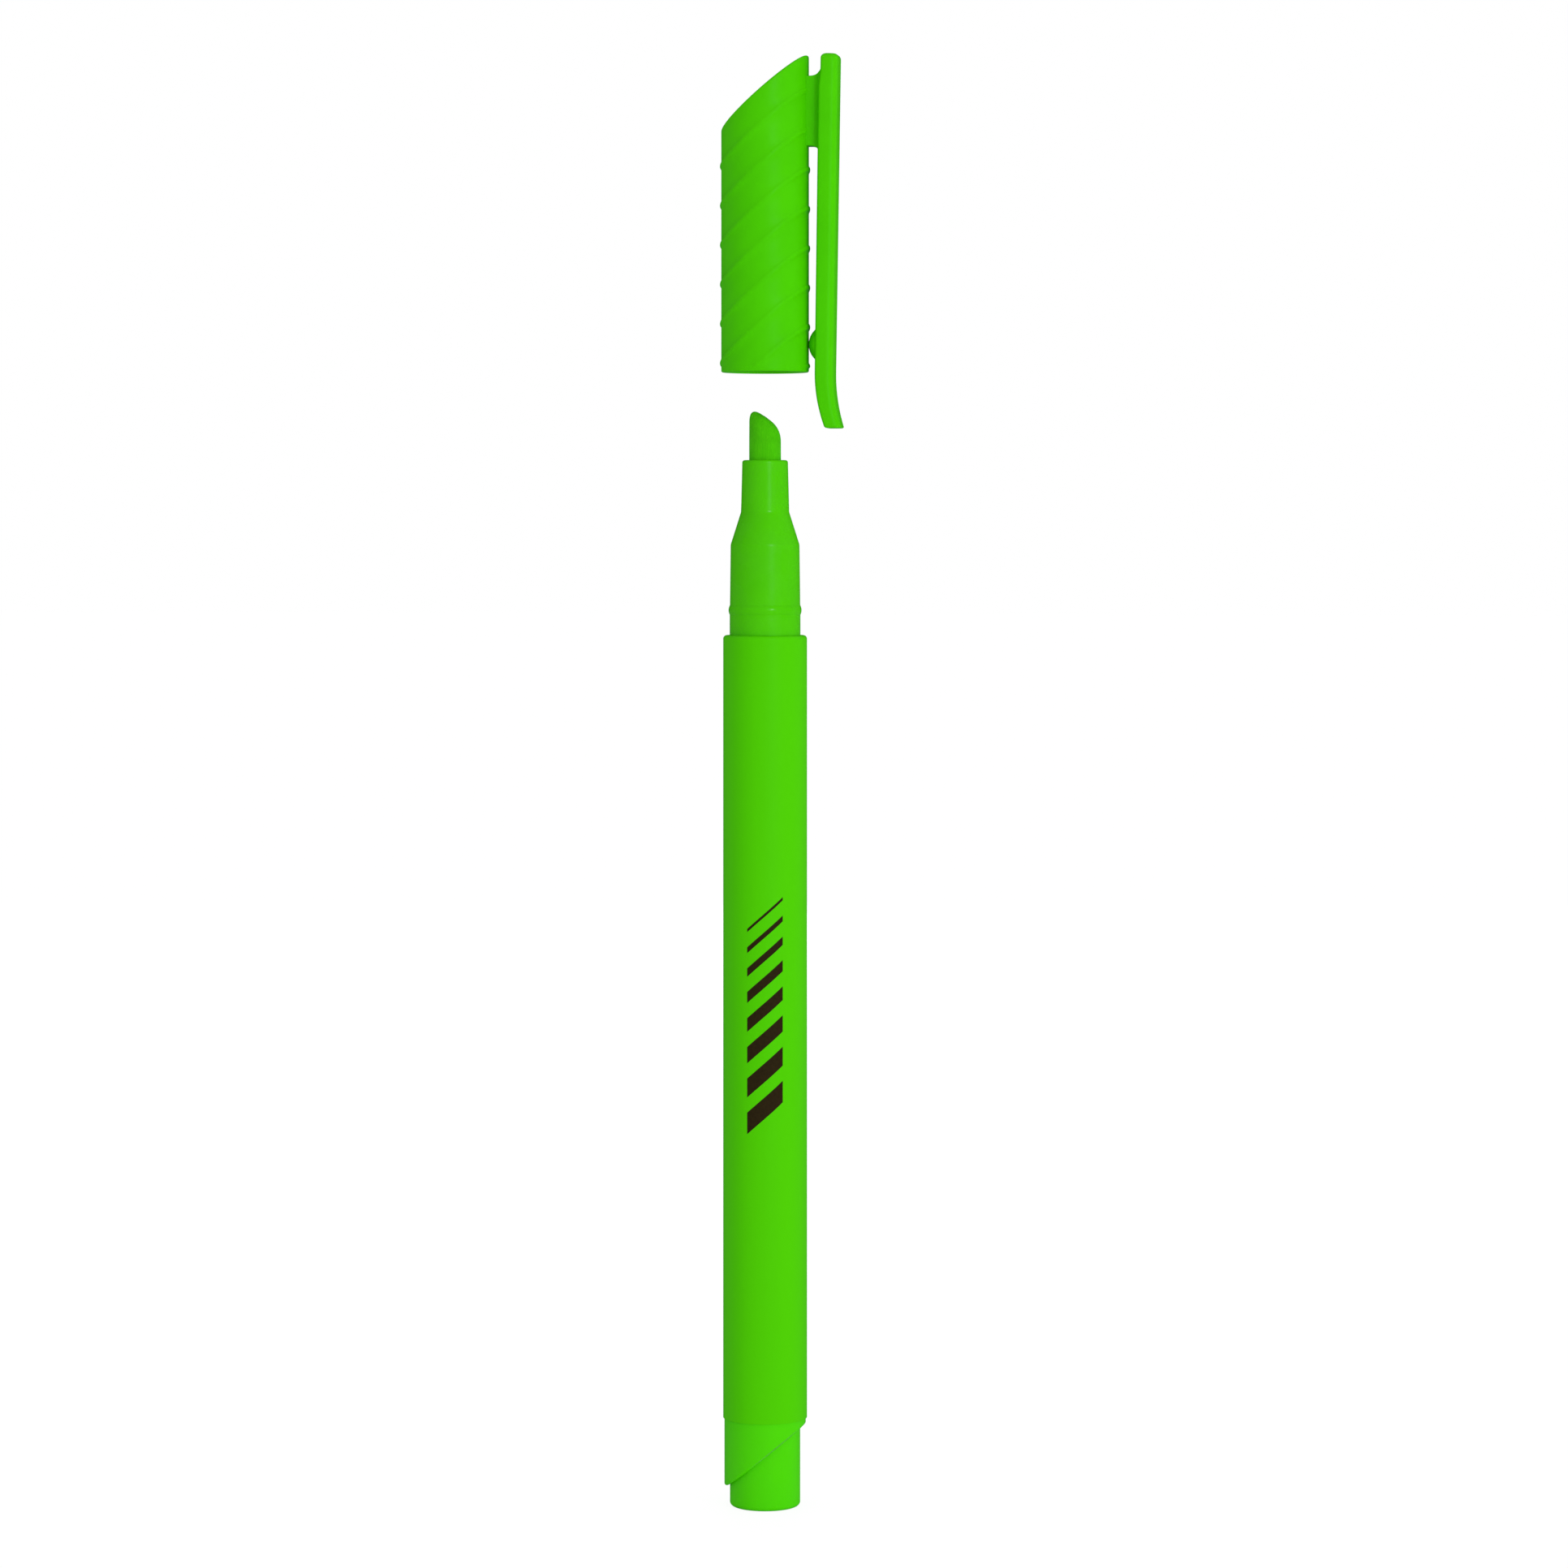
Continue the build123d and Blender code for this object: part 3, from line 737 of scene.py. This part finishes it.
def floor():
    """A wide pale floor: near white to the camera, with a soft shadow, and a mild grey bounce."""
    n = Nodes("pale_floor")
    rays = n.add("ShaderNodeLightPath")
    bounce = n.add("ShaderNodeBsdfDiffuse", Color=(0.85, 0.85, 0.85, 1))
    lit = n.add("ShaderNodeBsdfDiffuse", Color=(0.9, 0.9, 0.9, 1))
    glow = n.add("ShaderNodeEmission", Color=(1, 1, 1, 1), Strength=1.06)
    mirrored = n.add("ShaderNodeEmission", Color=(1, 1, 1, 1), Strength=0.1)
    seen = n.shader_mix(0.86, lit, glow)
    unseen = n.shader_mix(rays.outputs["Is Glossy Ray"], bounce, mirrored)
    n.show(n.shader_mix(rays.outputs["Is Camera Ray"], unseen, seen))
    far = FLOOR_HALF
    corners = [(-far, -far, 0), (far, -far, 0), (far, far, 0), (-far, far, 0)]
    mesh = bpy.data.meshes.new("floor")
    mesh.from_pydata(corners, [], [(0, 1, 2, 3)])
    mesh.materials.append(n.material)
    ground = bpy.data.objects.new("floor", mesh)
    bpy.context.scene.collection.objects.link(ground)


def surroundings():
    """White to the camera and as fill light, and nearly black in reflections."""
    world = bpy.data.worlds.new("studio")
    world.use_nodes = True
    bpy.context.scene.world = world
    n = Nodes("studio", world.node_tree)
    rays = n.add("ShaderNodeLightPath")
    white = n.add("ShaderNodeBackground", Color=(1, 1, 1, 1), Strength=FILL)
    seen = n.add("ShaderNodeBackground", Color=(1, 1, 1, 1), Strength=1.0)
    mirrored = n.add("ShaderNodeBackground", Color=(1, 1, 1, 1), Strength=MIRRORED_FILL)
    hidden = n.shader_mix(rays.outputs["Is Glossy Ray"], white, mirrored)
    n.show(n.shader_mix(rays.outputs["Is Camera Ray"], hidden, seen), "ShaderNodeOutputWorld")


def soft_light(name, azimuth, elevation, size, power, glint=False):
    """A soft light aimed at the pen's middle, its azimuth measured from the camera's.

    A glint shows in glossy reflections alone, and every other light in diffuse light alone.
    """
    data = bpy.data.lights.new(name, "AREA")
    data.shape = "RECTANGLE"
    data.size, data.size_y = size
    data.energy = power
    lamp = bpy.data.objects.new(name, data)
    bpy.context.scene.collection.objects.link(lamp)
    turn = VIEW_AZIMUTH + math.radians(azimuth)
    climb = math.radians(elevation)
    away = Vector((math.sin(turn) * math.cos(climb), -math.cos(turn) * math.cos(climb), math.sin(climb)))
    target = Vector((0, 0, PICTURE_MIDDLE))
    lamp.location = target + away * LIGHT_DISTANCE
    lamp.rotation_euler = away.to_track_quat("Z", "Y").to_euler()
    lamp.visible_glossy = glint
    lamp.visible_diffuse = not glint


def camera():
    """A level camera above the pen's middle, shifted down so that the whole pen is in frame."""
    data = bpy.data.cameras.new("camera")
    data.lens = data.sensor_width * VIEW_DISTANCE / FRAME_WIDTH
    data.shift_y = (PICTURE_MIDDLE - EYE_HEIGHT) / FRAME_WIDTH
    data.clip_start = 0.01
    eye = bpy.data.objects.new("camera", data)
    bpy.context.scene.collection.objects.link(eye)
    right = Vector((math.cos(VIEW_AZIMUTH), math.sin(VIEW_AZIMUTH), 0))
    back = Vector((math.sin(VIEW_AZIMUTH), -math.cos(VIEW_AZIMUTH), 0))
    target = right * VIEW_SHIFT + Vector((0, 0, EYE_HEIGHT))
    eye.location = target + back * VIEW_DISTANCE
    eye.rotation_euler = back.to_track_quat("Z", "Y").to_euler()
    bpy.context.scene.camera = eye


def plain_colours():
    """Screen colours come out as the materials and lights give them."""
    view = bpy.context.scene.view_settings
    view.view_transform = "Standard"
    view.look = "None"


# ---------------------------------------------------------------- build

paint_nodes()
cap_green = moulded_plastic("cap_plastic", srgb(72, 199, 0), srgb(69, 194, 0), 0.38, LOW_SHEEN)
felt_nib(nib_felt())
cap_body(cap_green)
pocket_clip(cap_green)
clip_web(cap_green)

floor()
surroundings()
soft_light("key", azimuth=38, elevation=3, size=(0.5, 0.25), power=3.5)
soft_light("glint", azimuth=22, elevation=14, size=(0.06, 0.06), power=1.5, glint=True)
soft_light("back", azimuth=180, elevation=10, size=(0.3, 0.3), power=2.5)
camera()
plain_colours()
